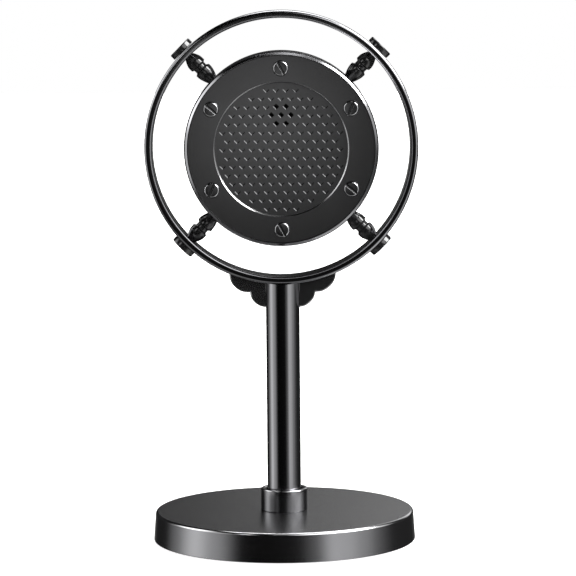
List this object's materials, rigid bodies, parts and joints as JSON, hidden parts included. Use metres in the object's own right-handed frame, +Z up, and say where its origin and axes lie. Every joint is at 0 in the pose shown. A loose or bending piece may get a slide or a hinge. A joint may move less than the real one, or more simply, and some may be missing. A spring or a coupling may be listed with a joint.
{
  "type": "desktop microphone",
  "caption": "Desktop microphone: round metal head held in a hoop by turned posts, on a stem that swivels in the collar of a weighted round base.",
  "frame": {"origin": "centre of the base's underside, on the table", "axes": "+Z up along the stem, the microphone faces -Y, +X to its left-hand side as it faces the speaker"},
  "size_m": [0.1026, 0.0992, 0.2004],
  "materials": {
    "black_chrome": "polished black chrome",
    "post_chrome": "polished black chrome",
    "bracket_finish": "satin black",
    "base_finish": "satin gunmetal",
    "plate_finish": "satin charcoal",
    "grille_finish": "satin charcoal",
    "face_screw_finish": "satin black",
    "cover_finish": "matt black",
    "plain_steel": "plain",
    "screw_steel": "zinc plated",
    "socket_steel": "nickel plated",
    "capsule_aluminium": "drawn",
    "lead_brass": "plated",
    "foot_rubber": "matt",
    "bush_plastic": "moulded",
    "acoustic_cloth": "woven",
    "board_laminate": "solder mask",
    "chip_plastic": "moulded"
  },
  "bodies": {
    "base": {"base_shell": "base_finish", "base_ballast": "plain_steel", "base_cover": "cover_finish", "cover_screws": "screw_steel", "foot_pad": "foot_rubber", "stem_collar": "black_chrome", "swivel_bush": "bush_plastic", "swivel_washer": "screw_steel"},
    "upper": {"swivel_nut": "screw_steel", "stem_foot": "plain_steel", "stem_tube": "black_chrome", "ring_bracket": "bracket_finish", "ring_screw": "screw_steel", "suspension_ring": "black_chrome", "post_upper_right": "post_chrome", "post_upper_left": "post_chrome", "post_lower_left": "post_chrome", "post_lower_right": "post_chrome", "cap_screws": "black_chrome", "post_nuts": "screw_steel", "head_shell": "black_chrome", "face_plate": "plate_finish", "face_screws": "face_screw_finish", "grille_plate": "grille_finish", "dust_cloth": "acoustic_cloth", "capsule": "capsule_aluminium", "capsule_boot": "foot_rubber", "capsule_leads": "lead_brass", "circuit_board": "board_laminate", "codec_chip": "chip_plastic", "usb_socket": "socket_steel", "board_screws": "screw_steel"}
  },
  "joints": [
    {"name": "stem_swivel", "type": "hinge", "parent": "base", "child": "upper", "pos_m": [0, 0, 0.0109], "axis": [0, 0, 1], "continuous": true}
  ]
}
